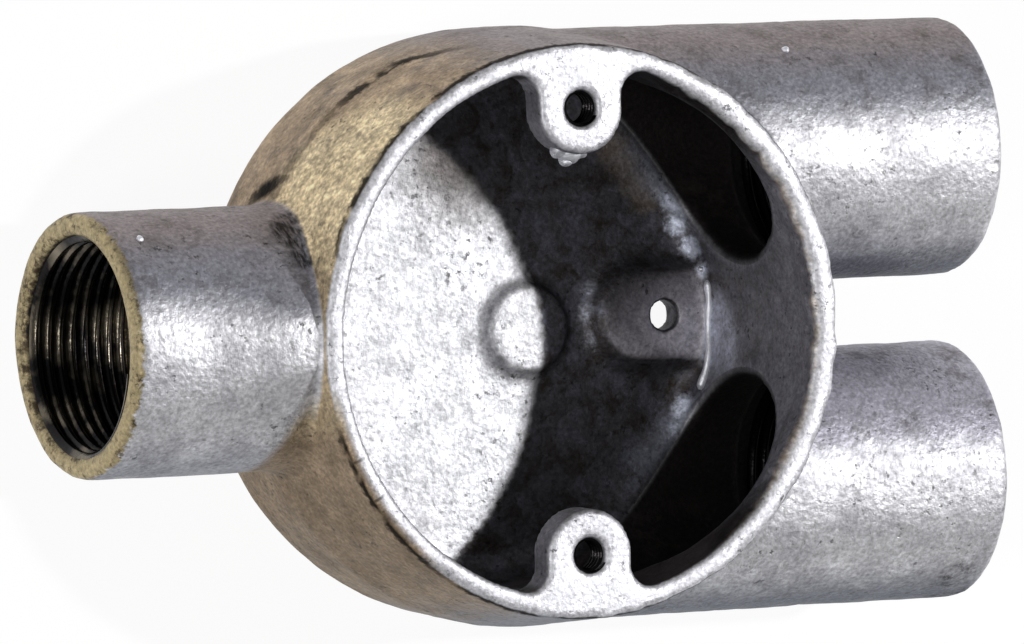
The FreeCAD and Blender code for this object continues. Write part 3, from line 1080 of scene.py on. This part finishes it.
class CONDUITBOX_OT_stage(bpy.types.Operator):
    """Sets up floor, lamps, room light and the photograph's camera"""

    bl_idname = "conduit_box.stage"
    bl_label = "Stage"

    def execute(self, context):
        _, _, stage = settings()
        scene = context.scene
        mesh = bpy.data.meshes.new("floor")
        sides = ((-1, -1), (1, -1), (1, 1), (-1, 1))
        corners = [(x * FLOOR_HALF, y * FLOOR_HALF, -FLOOR_DROP) for x, y in sides]
        mesh.from_pydata(corners, [], [(0, 1, 2, 3)])
        mesh.materials.append(pale_floor(stage))
        floor = bpy.data.objects.new("floor", mesh)
        scene.collection.objects.link(floor)

        centre = (0.0, 0.0, RIM_HEIGHT / 2)
        lamp("key_lamp", stage.key_place, centre, stage.key_power, stage.key_size)
        lamp("fill_lamp", stage.fill_place, centre, stage.fill_power, stage.fill_size)

        world = bpy.data.worlds.new("room")
        world.use_nodes = True
        world.node_tree.nodes["Background"].inputs["Color"].default_value = linear(stage.white)
        world.node_tree.nodes["Background"].inputs["Strength"].default_value = stage.room
        scene.world = world

        lens = bpy.data.cameras.new("photo_camera")
        lens.sensor_fit = "HORIZONTAL"
        lens.sensor_width = SENSOR_WIDTH
        lens.lens = stage.lens
        camera = bpy.data.objects.new("photo_camera", lens)
        turn = Matrix.Rotation(-stage.tilt[0], 4, "X") @ Matrix.Rotation(-stage.tilt[1], 4, "Y")
        turn = turn @ Matrix.Rotation(-stage.tilt[2], 4, "Z")
        rim_centre = Matrix.Translation((0, 0, RIM_HEIGHT))
        camera.matrix_world = rim_centre @ turn @ Matrix.Translation(stage.stand)
        scene.collection.objects.link(camera)
        scene.camera = camera
        scene.view_settings.view_transform = "Standard"
        return {"FINISHED"}


class CONDUITBOX_PT_build(bpy.types.Panel):
    """Lists the steps that dress the box"""

    bl_idname = "CONDUITBOX_PT_build"
    bl_label = "Y conduit box"
    bl_space_type = "VIEW_3D"
    bl_region_type = "UI"
    bl_category = "Conduit box"

    def draw(self, context):
        for step in STEPS:
            self.layout.operator(step.bl_idname)


STEPS = (
    CONDUITBOX_OT_cast_skin,
    CONDUITBOX_OT_entry_threads,
    CONDUITBOX_OT_screw_threads,
    CONDUITBOX_OT_zinc_beads,
    CONDUITBOX_OT_stage,
)
GROUPS = (CastingSettings, ThreadSettings, StageSettings)
CLASSES = GROUPS + STEPS + (CONDUITBOX_PT_build,)


def register():
    """Registers the classes and puts the settings on the scene."""
    for item in CLASSES:
        bpy.utils.register_class(item)
    bpy.types.Scene.box_casting_settings = bpy.props.PointerProperty(type=CastingSettings)
    bpy.types.Scene.box_thread_settings = bpy.props.PointerProperty(type=ThreadSettings)
    bpy.types.Scene.box_stage_settings = bpy.props.PointerProperty(type=StageSettings)


def unregister():
    """Takes the settings and the classes away again."""
    del bpy.types.Scene.box_casting_settings
    del bpy.types.Scene.box_thread_settings
    del bpy.types.Scene.box_stage_settings
    for item in reversed(CLASSES):
        bpy.utils.unregister_class(item)


def main():
    """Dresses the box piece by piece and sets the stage."""
    register()
    bpy.ops.conduit_box.cast_skin()
    bpy.ops.conduit_box.entry_threads()
    bpy.ops.conduit_box.screw_threads()
    bpy.ops.conduit_box.zinc_beads()
    bpy.ops.conduit_box.stage()


if __name__ == "__main__":
    main()
